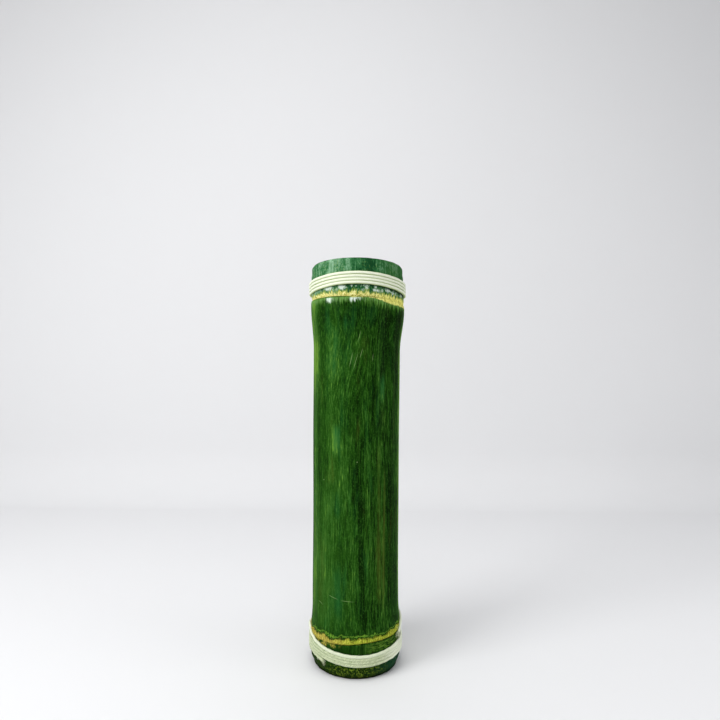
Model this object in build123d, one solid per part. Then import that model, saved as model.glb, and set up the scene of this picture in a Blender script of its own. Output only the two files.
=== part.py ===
from build123d import *
import math
import os

# A length of bamboo stem cut as a vase, with a cord wound round it near each end.
# Millimetres. +Z is up, the origin is the middle of the foot on the ground, and the front is -Y.

# Stem, outside, from the ground up
vase_height = 300.0
stem_radius = 33.0  # straight stem below the upper node
foot_narrowing = 0.2  # how far the foot stays inside the straight stem
foot_rounding = 1.0
foot_height = 7.8  # from the ground to the seat of the lower cord
lower_seat_swell = 0.9  # how far the lower cord's seat stands out from the straight stem
lower_band_height = 2.5  # plain stem between the lower seat and the scar above it
lower_node_swell = 1.5  # just above the lower scar
lower_flare_length = 19.0  # from that swelling up to where the stem is back at its own radius
waist_height = 95.0  # where the stem is narrowest
waist_narrowing = 1.0
straight_start = 195.0  # height at which the stem is straight again
upper_flare_length = 32.0
upper_lip_height = 3.5  # widest stretch, just below the upper scar
upper_node_swell = 2.6
upper_band_height = 4.1  # plain stem between the upper scar and the seat above it
upper_seat_swell = 1.9  # where the upper cord lies
neck_height = 8.6  # from the upper seat to the rim
neck_taper = 2.0  # height over which the seat narrows to the neck
neck_swell = 1.5
rim_rounding = 3.0
scar_width = 1.4  # groove that a fallen leaf sheath left at each node
scar_depth = 0.7

# Stem, inside
mouth_wall = 6.0
mouth_rounding = 1.5
stem_wall = 5.5
foot_wall = 6.0
septum_thickness = 5.0  # natural cross wall at each node
septum_rise = 2.0  # middle of a cross wall above the middle of its scar
septum_fillet = 2.0
septum_ledge = 3.5  # what is left of the opened upper cross wall, inwards from the bore

# Cords
cord_diameter = 2.0
turn_gap = 0.46  # between neighbouring turns
cord_clearance = 0.15  # between a cord and its seat
seat_margin = 0.3  # bare seat beyond the first and last turns
upper_turns = 4.0
upper_start_angle = 180.0  # degrees from the front towards +X
upper_bow = 1.3  # how far the turns rise at the front and back, and sink at the sides
upper_tail_drop = 0.0  # how far the cord's first end hangs below its first turn
lower_turns = 4.69
lower_start_angle = -44.0
lower_bow = -2.0
lower_tail_drop = 1.35
loose_turns = 0.69  # last stretch of the lower cord, which leaves the band and climbs over the node
loose_climb = 14.0
droop_turns = 0.15  # end of that stretch, which sinks again
loose_droop = 6.0
step_share = 0.25  # share of the loose stretch in which it steps out to the node's radius

# Glue beads at the cord ends
glue_height = 1.4
glue_clearance = 0.1  # to the stem, the cord's end and the next turn

foot_radius = stem_radius - foot_narrowing
lower_seat_radius = stem_radius + lower_seat_swell
lower_node_radius = stem_radius + lower_node_swell
upper_node_radius = stem_radius + upper_node_swell
upper_seat_radius = stem_radius + upper_seat_swell
neck_radius = stem_radius + neck_swell
turn_pitch = cord_diameter + turn_gap
full_turn = 2 * math.pi
tail_length = full_turn / 4  # stretch in which a hanging first end comes up to its turn
slope_step = 0.001  # radians either side of a point when a cord's direction is found there
gap_samples = 12  # points on each edge of a cord when its gap is measured
height_samples = 24  # points on each turn when a cord's highest and lowest are found


def eased(share):
    # 0 up to the start, 1 from the end, a smooth S between
    share = min(max(share, 0.0), 1.0)
    return share**2 * (3 - 2 * share)


class LooseEnd:
    # The last stretch of a cord: it steps out and climbs from the band, and sinks again at its tip

    def __init__(self, turns, climb, droop_turns, droop, step_out):
        self.turns = turns
        self.climb = climb
        self.droop_turns = droop_turns
        self.droop = droop
        self.step_out = step_out

    def height(self, turns_left):
        sunk = self.droop * max(0.0, 1 - turns_left / self.droop_turns) ** 2
        return self.climb * eased(1 - turns_left / self.turns) - sunk

    def offset(self, turns_left):
        return self.step_out * eased((1 - turns_left / self.turns) / step_share)


class Winding:
    # A cord wound left-handed up a round seat, its turns bowed up or down at the front and back

    def __init__(self, seat_radius, turns, start_angle, bow, tail_drop, loose_end=None):
        self.seat_radius = seat_radius
        self.turns = turns
        self.arc_count = round(4 * turns)  # stretches of about a quarter turn
        self.start_angle = math.radians(start_angle)
        self.bow = bow
        self.tail_drop = tail_drop
        self.loose_end = loose_end
        self.start_height = 0.0
        band_turns = turns - (loose_end.turns if loose_end else 0)
        steps = round(height_samples * band_turns)
        heights = [self.band_height(i * full_turn / height_samples) for i in range(steps + 1)]
        self.lowest = min(heights)
        self.seat_height = max(heights) - min(heights) + cord_diameter + 2 * seat_margin

    def stand_on(self, seat_bottom):
        self.seat_bottom = seat_bottom
        self.seat_top = seat_bottom + self.seat_height
        self.start_height = seat_bottom + seat_margin + cord_diameter / 2 - self.lowest

    def band_height(self, turned):
        # Height of the cord's middle above its start, as long as it stays in the band
        tail_left = max(0.0, 1 - turned / tail_length)
        rise = turn_pitch * turned / full_turn - self.tail_drop * tail_left**2
        return rise + self.bow * math.cos(2 * (self.start_angle - turned))

    def surface(self, turned):
        # Radius of the surface that the cord lies on
        if self.loose_end is None:
            return self.seat_radius
        return self.seat_radius + self.loose_end.offset(self.turns - turned / full_turn)

    def middle(self, turned):
        # Point of the cord's middle after it has turned this far round
        angle = self.start_angle - turned
        radius = self.surface(turned) + cord_clearance + cord_diameter / 2
        height = self.start_height + self.band_height(turned)
        if self.loose_end is not None:
            height += self.loose_end.height(self.turns - turned / full_turn)
        return Vector(radius * math.sin(angle), -radius * math.cos(angle), height)

    def station(self, turned):
        # That point, and the cord's direction there
        ahead = self.middle(turned + slope_step) - self.middle(turned - slope_step)
        return self.middle(turned), ahead.normalized()

    def tips(self):
        # Point, outward direction and surface radius of the two ends, past their straight runs
        total = self.turns * full_turn
        first, first_direction = self.station(0)
        last, last_direction = self.station(total)
        first_tip = first - first_direction * cord_diameter
        last_tip = last + last_direction * cord_diameter
        return [
            (first_tip, first_direction * -1, self.surface(0)),
            (last_tip, last_direction, self.surface(total)),
        ]


# Heights that the stem shares with the cords
node_step = lower_node_radius - lower_seat_radius
loose_end = LooseEnd(loose_turns, loose_climb, droop_turns, loose_droop, node_step)
lower_wrap = Winding(
    lower_seat_radius, lower_turns, lower_start_angle, lower_bow, lower_tail_drop, loose_end
)
lower_wrap.stand_on(foot_height)
lower_scar = lower_wrap.seat_top + lower_band_height + scar_width / 2
upper_wrap = Winding(
    upper_seat_radius, upper_turns, upper_start_angle, upper_bow, upper_tail_drop
)
upper_wrap.stand_on(vase_height - neck_height - upper_wrap.seat_height)
upper_scar = upper_wrap.seat_bottom - upper_band_height - scar_width / 2


def groove(lower_point, upper_point, height):
    # Hollow arc of a leaf scar, between the stem just below it and just above it
    bottom = (min(lower_point[0], upper_point[0]) - scar_depth, height)
    return ThreePointArc(lower_point, bottom, upper_point)


def stem_outside():
    # Outline from the foot up to the rim, as radius and height
    foot = (foot_radius - foot_rounding, 0)
    foot_side = (foot_radius, foot_rounding)
    lower_seat = (lower_seat_radius, foot_height)
    lower_scar_low = (lower_seat_radius, lower_scar - scar_width / 2)
    lower_scar_high = (lower_node_radius, lower_scar + scar_width / 2)
    stem_low = (stem_radius, lower_scar_high[1] + lower_flare_length)
    stem_low_slope = (stem_low[0] - lower_scar_high[0], stem_low[1] - lower_scar_high[1])
    waist = (stem_radius - waist_narrowing, waist_height)
    straight_low = (stem_radius, straight_start)
    upper_scar_low = (upper_node_radius, upper_scar - scar_width / 2)
    upper_scar_high = (upper_seat_radius, upper_scar + scar_width / 2)
    lip_low = (upper_node_radius, upper_scar_low[1] - upper_lip_height)
    straight_high = (stem_radius, lip_low[1] - upper_flare_length)
    upper_seat = (upper_seat_radius, upper_wrap.seat_top)
    neck_low = (neck_radius, upper_wrap.seat_top + neck_taper)
    neck_high = (neck_radius, vase_height - rim_rounding)
    rim = (neck_radius - rim_rounding, vase_height)
    return [
        TangentArc(foot_side, foot, tangent=(0, -1)),
        Line(foot_side, lower_seat),
        Line(lower_seat, lower_scar_low),
        groove(lower_scar_low, lower_scar_high, lower_scar),
        Spline(lower_scar_high, stem_low, waist, straight_low, tangents=[stem_low_slope, (0, 1)]),
        Line(straight_low, straight_high),
        Spline(straight_high, lip_low, tangents=[(0, 1), (0, 1)]),
        Line(lip_low, upper_scar_low),
        groove(upper_scar_low, upper_scar_high, upper_scar),
        Line(upper_scar_high, upper_seat),
        Line(upper_seat, neck_low),
        Line(neck_low, neck_high),
        TangentArc(neck_high, rim, tangent=(0, 1)),
    ]


def stem_inside():
    # Outline from the rim down through the mouth, the opened cross wall, the bore and the foot
    mouth_radius = neck_radius - mouth_wall
    bore_radius = stem_radius - stem_wall
    hole_radius = bore_radius - septum_ledge
    recess_radius = foot_radius - foot_wall
    ledge_top = upper_scar + septum_rise + septum_thickness / 2
    ledge_bottom = ledge_top - septum_thickness
    floor_top = lower_scar + septum_rise + septum_thickness / 2
    floor_bottom = floor_top - septum_thickness
    rim = (neck_radius - rim_rounding, vase_height)
    mouth_edge = (mouth_radius + mouth_rounding, vase_height)
    mouth_high = (mouth_radius, vase_height - mouth_rounding)
    mouth_low = (mouth_radius, ledge_top + septum_fillet)
    ledge_outer = (mouth_radius - septum_fillet, ledge_top)
    hole_high = (hole_radius, ledge_top)
    hole_low = (hole_radius, ledge_bottom)
    ledge_under = (bore_radius - septum_fillet, ledge_bottom)
    bore_high = (bore_radius, ledge_bottom - septum_fillet)
    bore_low = (bore_radius, floor_top + septum_fillet)
    floor_outer = (bore_radius - septum_fillet, floor_top)
    floor_middle = (0, floor_top)
    recess_middle = (0, floor_bottom)
    recess_outer = (recess_radius - septum_fillet, floor_bottom)
    recess_high = (recess_radius, floor_bottom - septum_fillet)
    recess_low = (recess_radius, 0)
    foot = (foot_radius - foot_rounding, 0)
    return [
        Line(rim, mouth_edge),
        TangentArc(mouth_high, mouth_edge, tangent=(0, 1)),
        Line(mouth_high, mouth_low),
        TangentArc(mouth_low, ledge_outer, tangent=(0, -1)),
        Line(ledge_outer, hole_high),
        Line(hole_high, hole_low),
        Line(hole_low, ledge_under),
        TangentArc(bore_high, ledge_under, tangent=(0, 1)),
        Line(bore_high, bore_low),
        TangentArc(bore_low, floor_outer, tangent=(0, -1)),
        Line(floor_outer, floor_middle),
        Line(floor_middle, recess_middle),
        Line(recess_middle, recess_outer),
        TangentArc(recess_high, recess_outer, tangent=(0, 1)),
        Line(recess_high, recess_low),
        Line(recess_low, foot),
    ]


def bamboo_stem():
    outline = make_face(stem_outside() + stem_inside())
    return revolve(Plane.XZ * outline, Axis.Z)


def biarc(start, start_direction, finish, finish_direction):
    # Two arcs that meet smoothly, with tangents of one length at both ends
    chord = finish - start
    along = chord.dot(start_direction + finish_direction)
    bend = 2 * (1 - start_direction.dot(finish_direction))
    reach = (math.sqrt(along**2 + bend * chord.dot(chord)) - along) / bend
    first_corner = start + start_direction * reach
    second_corner = finish - finish_direction * reach
    middle = (first_corner + second_corner) * 0.5
    return [
        Edge.make_tangent_arc(start, start_direction, middle),
        Edge.make_tangent_arc(middle, second_corner - first_corner, finish),
    ]


def cord_edges(winding):
    # A straight end, biarcs of about a quarter turn each, and a straight end
    step = winding.turns * full_turn / winding.arc_count
    stations = [winding.station(i * step) for i in range(winding.arc_count + 1)]
    first_tip, last_tip = [tip for tip, outward, surface in winding.tips()]
    edges = [Edge.make_line(first_tip, stations[0][0])]
    for (start, start_direction), (finish, finish_direction) in zip(stations, stations[1:]):
        edges += biarc(start, start_direction, finish, finish_direction)
    edges.append(Edge.make_line(stations[-1][0], last_tip))
    return edges


def least_gap(edges, arc_count):
    # The least space between a cord and its own turns, half a turn or more further along
    points = [edge @ (k / gap_samples) for edge in edges for k in range(gap_samples)]
    half_turn = 2 * len(points) // arc_count
    distances = [
        (points[i] - points[j]).length
        for i in range(len(points))
        for j in range(i + half_turn, len(points))
    ]
    return min(distances) - cord_diameter


def wound_cord(name, winding):
    edges = cord_edges(winding)
    path = Wire(edges)
    tip, outward, surface = winding.tips()[0]
    section = Plane(origin=tip, z_dir=outward * -1) * Circle(cord_diameter / 2)
    cord = sweep(section, path=path)
    filled = cord.volume / (math.pi * cord_diameter**2 / 4 * path.length)
    gap = least_gap(edges, winding.arc_count)
    print(f"{name}: length {path.length:.0f}, volume {filled:.4f} of section times length")
    print(f"{name}: least gap between turns {gap:.3f}")
    return cord


def glue_bead(tip, outward, surface):
    # A low dome on the stem, cut flat where the cord's end meets it
    half_width = turn_pitch - cord_diameter / 2 - glue_clearance
    ball_radius = (half_width**2 + glue_height**2) / (2 * glue_height)
    middle = tip + outward * (half_width / 2)
    sideways = Vector(middle.X, middle.Y, 0).normalized()
    centre = sideways * (surface + glue_height - ball_radius) + Vector(0, 0, middle.Z)
    ball = Pos(centre) * Sphere(ball_radius)
    stem = Pos(0, 0, middle.Z) * Cylinder(surface + glue_clearance, 4 * ball_radius)
    end_face = Plane(origin=tip + outward * glue_clearance, z_dir=outward * -1)
    cord_side = Cylinder(
        2 * ball_radius, 2 * ball_radius, align=(Align.CENTER, Align.CENTER, Align.MIN)
    )
    return ball - stem - end_face * cord_side


def cord_glue(winding):
    beads = [glue_bead(*end).solid() for end in winding.tips()]
    return Compound(children=beads)


os.makedirs("parts", exist_ok=True)
export_step(bamboo_stem(), "parts/bamboo_stem.step")
export_step(wound_cord("upper_cord_wrap", upper_wrap), "parts/upper_cord_wrap.step")
export_step(wound_cord("lower_cord_wrap", lower_wrap), "parts/lower_cord_wrap.step")
export_step(cord_glue(upper_wrap), "parts/upper_cord_glue.step")
export_step(cord_glue(lower_wrap), "parts/lower_cord_glue.step")
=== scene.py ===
import math
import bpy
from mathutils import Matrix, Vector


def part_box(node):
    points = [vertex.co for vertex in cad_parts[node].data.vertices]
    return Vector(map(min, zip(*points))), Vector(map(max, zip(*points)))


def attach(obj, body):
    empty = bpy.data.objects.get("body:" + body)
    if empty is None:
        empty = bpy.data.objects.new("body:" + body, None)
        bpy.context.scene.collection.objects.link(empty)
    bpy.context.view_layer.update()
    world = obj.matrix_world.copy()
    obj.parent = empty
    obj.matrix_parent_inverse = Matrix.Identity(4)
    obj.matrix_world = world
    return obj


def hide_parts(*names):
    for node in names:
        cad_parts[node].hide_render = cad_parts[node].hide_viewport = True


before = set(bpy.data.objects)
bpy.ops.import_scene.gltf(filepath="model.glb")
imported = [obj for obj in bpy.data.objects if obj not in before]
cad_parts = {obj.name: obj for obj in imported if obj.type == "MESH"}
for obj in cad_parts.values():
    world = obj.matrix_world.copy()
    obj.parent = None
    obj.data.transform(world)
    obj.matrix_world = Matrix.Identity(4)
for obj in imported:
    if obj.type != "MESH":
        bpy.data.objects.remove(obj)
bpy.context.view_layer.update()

from types import SimpleNamespace

import bpy
import numpy as np
from mathutils import Vector

mm = 0.001
rng = np.random.default_rng(41)
scene = bpy.context.scene
print("frame loaded, nodes:", sorted(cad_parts))


# number helpers

def ease(low, high, x):
    # 0 below low, 1 above high, a smooth S between
    t = np.clip((x - low) / (high - low), 0.0, 1.0)
    return t * t * (3.0 - 2.0 * t)


def bell(x, centre, width):
    # 1 at centre, falling off as a Gauss curve
    return np.exp(-(((x - centre) / width) ** 2))


def wrapped(angle):
    # the same angle between minus and plus half a turn
    return (angle + np.pi) % (2 * np.pi) - np.pi


def unit(vectors):
    return vectors / np.linalg.norm(vectors, axis=-1, keepdims=True)


def colour(red, green, blue):
    # 8-bit screen colour as the linear colour that the shader wants
    c = np.array([red, green, blue]) / 255.0
    linear = np.where(c <= 0.04045, c / 12.92, ((c + 0.055) / 1.055) ** 2.4)
    return (*[float(v) for v in linear], 1.0)


# mesh helpers

def meshObject(name, verts, faces, materials):
    # smooth mesh that sits at the origin
    mesh = bpy.data.meshes.new(name)
    mesh.from_pydata(verts.tolist(), [], faces)
    mesh.polygons.foreach_set("use_smooth", np.ones(len(mesh.polygons), dtype=bool))
    for material in materials:
        mesh.materials.append(material)
    obj = bpy.data.objects.new(name, mesh)
    scene.collection.objects.link(obj)
    return obj


def gridObject(name, points, startPoles, endPoles, rowValues, materials, rowMaterials=None):
    # strands x rows x columns of points, closed round the columns, with a pole point at both ends
    # face (i, j) joins row i to row i + 1; UV is (row value, share of the way round)
    strands, rows, cols = points.shape[:3]
    each = rows * cols
    verts = np.concatenate([points.reshape(-1, 3), startPoles, endPoles])
    j = np.arange(cols)
    jn = (j + 1) % cols
    base = np.arange(rows - 1)[:, None] * cols
    quads = np.stack([base + j, base + jn, base + cols + jn, base + cols + j], -1).reshape(1, -1, 4)
    quads = quads + np.arange(strands)[:, None, None] * each
    pole = strands * each + np.arange(strands)[:, None] + np.zeros_like(j)
    first = np.arange(strands)[:, None] * each
    last = first + each - cols
    startFan = np.stack([pole, first + jn, first + j], -1)
    endFan = np.stack([last + j, last + jn, pole + strands], -1)
    fans = np.concatenate([startFan.reshape(-1, 3), endFan.reshape(-1, 3)])
    obj = meshObject(name, verts, quads.reshape(-1, 4).tolist() + fans.tolist(), materials)
    mesh = obj.data
    u0, u1 = np.repeat(rowValues[:-1], cols), np.repeat(rowValues[1:], cols)
    v0 = np.tile(j / cols, rows - 1)
    v1 = v0 + 1.0 / cols
    quadUv = np.tile(np.stack([u0, v0, u0, v1, u1, v1, u1, v0], -1).ravel(), strands)
    a, b = j / cols, (j + 1) / cols
    low, high = np.full(cols, rowValues[0]), np.full(cols, rowValues[-1])
    startUv = np.tile(np.stack([low, (a + b) / 2, low, b, low, a], -1).ravel(), strands)
    endUv = np.tile(np.stack([high, a, high, b, high, (a + b) / 2], -1).ravel(), strands)
    uvLayer = mesh.uv_layers.new(name="run")
    uvLayer.uv.foreach_set("vector", np.concatenate([quadUv, startUv, endUv]).astype(np.float32))
    if rowMaterials is not None:
        ends = np.repeat([rowMaterials[0], rowMaterials[-1]], cols)
        perFace = np.concatenate([np.repeat(rowMaterials[:-1], cols), ends])
        mesh.polygons.foreach_set("material_index", perFace.astype(np.int32))
    mesh.update()
    return obj


def addAttribute(obj, name, values):
    # one value for each grid point, and 0 for the two poles
    layer = obj.data.attributes.new(name, "FLOAT", "POINT")
    layer.data.foreach_set("value", np.append(values, [0.0, 0.0]).astype(np.float32))


# node helpers

wire = SimpleNamespace(tree=None)     # the node tree that is being built


def newMaterial(name):
    material = bpy.data.materials.new(name)
    material.use_nodes = True
    wire.tree = material.node_tree
    return material, wire.tree.nodes["Principled BSDF"]


def fill(node, sockets):
    # a socket value is a number, a colour or another node's output
    for key, value in sockets.items():
        if isinstance(value, bpy.types.NodeSocket):
            wire.tree.links.new(value, node.inputs[key])
        else:
            node.inputs[key].default_value = value


def put(kind, sockets=None, **settings):
    made = wire.tree.nodes.new(kind)
    for key, value in settings.items():
        setattr(made, key, value)
    fill(made, sockets or {})
    return made


def calc(operation, a, b=0.0, c=0.0):
    return put("ShaderNodeMath", {0: a, 1: b, 2: c}, operation=operation).outputs[0]


def times(product, *others):
    for other in others:
        product = calc("MULTIPLY", product, other)
    return product


def weighted(total, *parts):
    # total plus every value times its weight
    for value, weight in parts:
        total = calc("MULTIPLY_ADD", value, weight, total)
    return total


def span(value, low, high, toLow=0.0, toHigh=1.0):
    # maps low..high to toLow..toHigh with eased ends
    sockets = {"Value": value, "From Min": low, "From Max": high, "To Min": toLow, "To Max": toHigh}
    return put("ShaderNodeMapRange", sockets, interpolation_type="SMOOTHSTEP").outputs[0]


def window(value, low, lowEnd, high, highEnd):
    # rises to 1 from low to lowEnd and falls to 0 from high to highEnd
    return times(span(value, low, lowEnd), span(value, high, highEnd, 1.0, 0.0))


def vectorCalc(operation, a, b=(0.0, 0.0, 0.0)):
    return put("ShaderNodeVectorMath", {0: a, 1: b}, operation=operation).outputs["Vector"]


def vectorLength(vector):
    return put("ShaderNodeVectorMath", {0: vector}, operation="LENGTH").outputs["Value"]


def cover(under, share, over):
    # lays a share of one colour over another
    return put("ShaderNodeMix", {0: share, 6: under, 7: over}, data_type="RGBA").outputs[2]


def ramp(value, stops):
    made = put("ShaderNodeValToRGB", {0: value})
    elements = made.color_ramp.elements
    while len(elements) < len(stops):
        elements.new(0.5)
    for element, (place, shade) in zip(elements, stops):
        element.position = place
        element.color = shade
    return made.outputs[0]


def noiseAt(vector, scale, detail=3.0, rough=0.55, offset=(0.0, 0.0, 0.0)):
    # noise on stretched object coordinates: scale is cells per metre along x, y and z
    placed = put("ShaderNodeMapping", {"Vector": vector, "Scale": scale, "Location": offset})
    sockets = {"Vector": placed.outputs[0], "Scale": 1.0, "Detail": detail, "Roughness": rough}
    return put("ShaderNodeTexNoise", sockets).outputs[0]


def objectPlace():
    return put("ShaderNodeTexCoord").outputs["Object"]


def axisOf(vector, number):
    return put("ShaderNodeSeparateXYZ", {0: vector}).outputs[number]


def vertexValue(name):
    return put("ShaderNodeAttribute", attribute_name=name).outputs["Fac"]


def bumpFrom(height, strength, distance):
    sockets = {"Strength": strength, "Distance": distance, "Height": height}
    return put("ShaderNodeBump", sockets).outputs[0]


# bamboo stem: one turned profile with tilted node rings, slightly out of round

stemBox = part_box("bamboo_stem")
stem = {
    "around": 240,                        # points round the stem
    "height": stemBox[1].z,
    "straight": stemBox[1].x - 2.6 * mm,  # radius below the upper node
    "footNarrow": 1.1 * mm,               # the sanded foot tapers by this much
    "footRound": 2.0 * mm,
    "footTop": 7.8 * mm,                  # where the lower cord's seat begins
    "lowerSeat": 0.9 * mm,                # swellings over the straight radius
    "lowerNode": 1.5 * mm,
    "upperNode": 2.6 * mm,
    "upperSeat": 1.9 * mm,
    "neck": 1.5 * mm,
    "lowerFlareTop": 45.6 * mm,
    "waist": (95 * mm, 195 * mm, 0.15 * mm),    # narrowest height, end of the waist, narrowing
    "upperFlare": (236 * mm, 268 * mm),
    "lowerScar": 25.9 * mm,               # heights of the two leaf scars
    "upperScar": 272.2 * mm,
    "lowerTilt": 2.0 * mm,                # right side of the lower ring stands this much higher
    "upperTilt": -1.3 * mm,
    "scarDepth": 0.55 * mm,
    "scarWidth": 0.5 * mm,
    "scarStep": 0.35 * mm,                # half height of the step in radius at a scar
    "lipRound": (2.6 * mm, 0.45 * mm),    # the lip below the upper scar curves in: height, depth
    "ridge": (4.2 * mm, 1.9 * mm, 0.35 * mm),   # low ridge above that scar: middle, width, height
    "neckTaper": (291.4 * mm, 293.4 * mm),
    "rimRound": 3.0 * mm,
    "mouthWall": 6.0 * mm,
    "mouthRound": 1.5 * mm,
    "boreWall": 5.5 * mm,
    "footWall": 5.1 * mm,
    "floor": (25.4 * mm, 30.4 * mm),      # underside and top of the closed cross wall
    "ledge": (271.7 * mm, 276.7 * mm),    # the opened cross wall
    "ledgeDepth": 3.5 * mm,
    "fillet": 2.0 * mm,
    "breakEdge": 0.6 * mm,                # rounding of small edges
    "poleGap": 0.8 * mm,
    # the stem isn't quite straight: height, reach and sideways shift of each slight bow
    "bows": [(8 * mm, 45 * mm, 0.75 * mm), (100 * mm, 55 * mm, 0.2 * mm),
             (172 * mm, 38 * mm, -0.2 * mm), (268 * mm, 17 * mm, 0.5 * mm)],
}
skinRow, cutRow, innerRow = 0, 1, 2       # finish of a row of the profile


def outerRadius(z):
    # straight radius, less a waist, plus flares to the nodes, steps at the scars, a groove at each scar
    s = stem
    low, high, narrowing = s["waist"]
    waist = narrowing * ease(s["lowerFlareTop"], low, z) * (1 - ease(low, high, z))
    flare = np.clip((s["lowerFlareTop"] - z) / (s["lowerFlareTop"] - s["lowerScar"]), 0, 1)
    lipHeight, lipDepth = s["lipRound"]
    lip = lipDepth * ease(s["upperScar"] - lipHeight, s["upperScar"] + 0.4 * mm, z)
    body = s["straight"] - waist + s["lowerNode"] * flare**1.5
    body = body + s["upperNode"] * ease(*s["upperFlare"], z) - lip
    footStep = s["lowerSeat"] + s["footNarrow"]
    below = s["straight"] - s["footNarrow"] + footStep * ease(s["footRound"], s["footTop"], z)
    middle, width, size = s["ridge"]
    above = s["straight"] + s["upperSeat"] + size * bell(z, s["upperScar"] + middle, width)
    above = above + (s["neck"] - s["upperSeat"]) * ease(*s["neckTaper"], z)
    r = below
    for scar, over in (("lowerScar", body), ("upperScar", above)):
        r = r + (over - r) * ease(s[scar] - s["scarStep"], s[scar] + s["scarStep"], z)
    for scar in ("lowerScar", "upperScar"):
        r = r - s["scarDepth"] * bell(z, s[scar], s["scarWidth"])
    return r


def sway(z):
    # sideways shift of the stem's middle line: a sum of Gauss curves along its height
    return sum(shift * bell(z, middle, reach) for middle, reach, shift in stem["bows"])


def ringLift(theta, z):
    # how far a tilted ring is lifted at this angle, fading out away from its node
    s = stem
    nearLow = ease(2 * mm, s["lowerScar"] - 2 * mm, z) * (1 - ease(s["lowerScar"] + 8 * mm, 70 * mm, z))
    nearTop = ease(225 * mm, s["upperScar"] - 4 * mm, z) * (1 - ease(276 * mm, 292 * mm, z))
    wave = 0.25 * mm * np.sin(3 * theta + 0.7) + 0.15 * mm * np.sin(7 * theta - 0.4)
    lower = s["lowerTilt"] * np.sin(theta) + wave
    upper = s["upperTilt"] * np.sin(theta) + wave
    return lower * nearLow + upper * nearTop


facetCount = np.arange(7, 34)
facetPhase = rng.uniform(0, 2 * np.pi, facetCount.size)
facetDrift = rng.normal(0, 9.0, facetCount.size)      # radians per metre of height
facetSize = rng.uniform(0.3, 1.0, facetCount.size) * 0.028 * mm


def unevenness(theta, z):
    # low lobes of an out-of-round stem plus many weak lengthwise facets that drift with height
    lobes = 0.22 * mm * np.sin(2 * theta + 0.8 + 9 * z) + 0.12 * mm * np.sin(3 * theta - 1.1 - 14 * z)
    lobes = lobes + 0.07 * mm * np.sin(5 * theta + 2.0 + 20 * z)
    facets = zip(facetCount, facetPhase, facetDrift, facetSize)
    waves = (size * np.sin(count * theta + phase + drift * z) for count, phase, drift, size in facets)
    return lobes + sum(waves)


def straightRows(start, end, count):
    # count rows from start towards end, the end itself left to the next stretch
    t = np.arange(count) / count
    return np.stack([start[0] + (end[0] - start[0]) * t, start[1] + (end[1] - start[1]) * t], -1)


def roundRows(centre, radius, fromDegrees, toDegrees, count):
    # count rows on an arc, angles counted from outwards to upwards
    a = np.radians(fromDegrees + (toDegrees - fromDegrees) * np.arange(count) / count)
    return np.stack([centre[0] + radius * np.cos(a), centre[1] + radius * np.sin(a)], -1)


def outsideHeights():
    # row heights on the outside, close together round the two scars
    s = stem
    stops = [s["footRound"], s["footTop"], s["lowerScar"] - 3 * mm, s["lowerScar"] + 4 * mm,
             s["lowerScar"] + 30 * mm, s["upperScar"] - 30 * mm, s["upperScar"] - 4 * mm,
             s["upperScar"] + 4 * mm, s["neckTaper"][1], s["height"] - s["rimRound"]]
    counts = [6, 14, 28, 16, 72, 18, 34, 18, 6]
    return np.concatenate([a + (b - a) * np.arange(n) / n for a, b, n in zip(stops, stops[1:], counts)])


def stemProfile():
    # radius, height and finish of every row, from under the floor, round the foot and rim, to its top
    s = stem
    f, e, rim, lip = s["fillet"], s["breakEdge"], s["rimRound"], s["mouthRound"]
    top = s["height"]
    foot = s["straight"] - s["footNarrow"]
    neck = s["straight"] + s["neck"]
    recess = foot - s["footWall"]
    bore = s["straight"] - s["boreWall"]
    mouth = neck - s["mouthWall"]
    hole = bore - s["ledgeDepth"]
    under, floor = s["floor"]
    ledgeLow, ledgeTop = s["ledge"]
    heights = outsideHeights()
    stretches = [
        (innerRow, straightRows((s["poleGap"], under), (recess - f, under), 8)),
        (innerRow, roundRows((recess - f, under - f), f, 90, 0, 5)),
        (innerRow, straightRows((recess, under - f), (recess, e), 10)),
        (cutRow, roundRows((recess + e, e), e, 180, 270, 3)),
        (cutRow, straightRows((recess + e, 0), (foot - s["footRound"], 0), 4)),
        (skinRow, roundRows((foot - s["footRound"], s["footRound"]), s["footRound"], -90, 0, 8)),
        (skinRow, np.stack([outerRadius(heights), heights], -1)),
        (skinRow, roundRows((neck - rim, top - rim), rim, 0, 90, 9)),
        (cutRow, straightRows((neck - rim, top), (mouth + lip, top), 6)),
        (cutRow, roundRows((mouth + lip, top - lip), lip, 90, 180, 6)),
        (innerRow, straightRows((mouth, top - lip), (mouth, ledgeTop + f), 8)),
        (innerRow, roundRows((mouth - f, ledgeTop + f), f, 0, -90, 5)),
        (innerRow, straightRows((mouth - f, ledgeTop), (hole + e, ledgeTop), 4)),
        (innerRow, roundRows((hole + e, ledgeTop - e), e, 90, 180, 3)),
        (innerRow, straightRows((hole, ledgeTop - e), (hole, ledgeLow + e), 4)),
        (innerRow, roundRows((hole + e, ledgeLow + e), e, 180, 270, 3)),
        (innerRow, straightRows((hole + e, ledgeLow), (bore - f, ledgeLow), 4)),
        (innerRow, roundRows((bore - f, ledgeLow - f), f, 90, 0, 5)),
        (innerRow, straightRows((bore, ledgeLow - f), (bore, floor + f), 36)),
        (innerRow, roundRows((bore - f, floor + f), f, 0, -90, 5)),
        (innerRow, straightRows((bore - f, floor), (s["poleGap"], floor), 10)),
    ]
    rows = np.concatenate([part for finish, part in stretches])
    finishes = np.concatenate([np.full(len(part), finish) for finish, part in stretches])
    return rows, finishes


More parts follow.
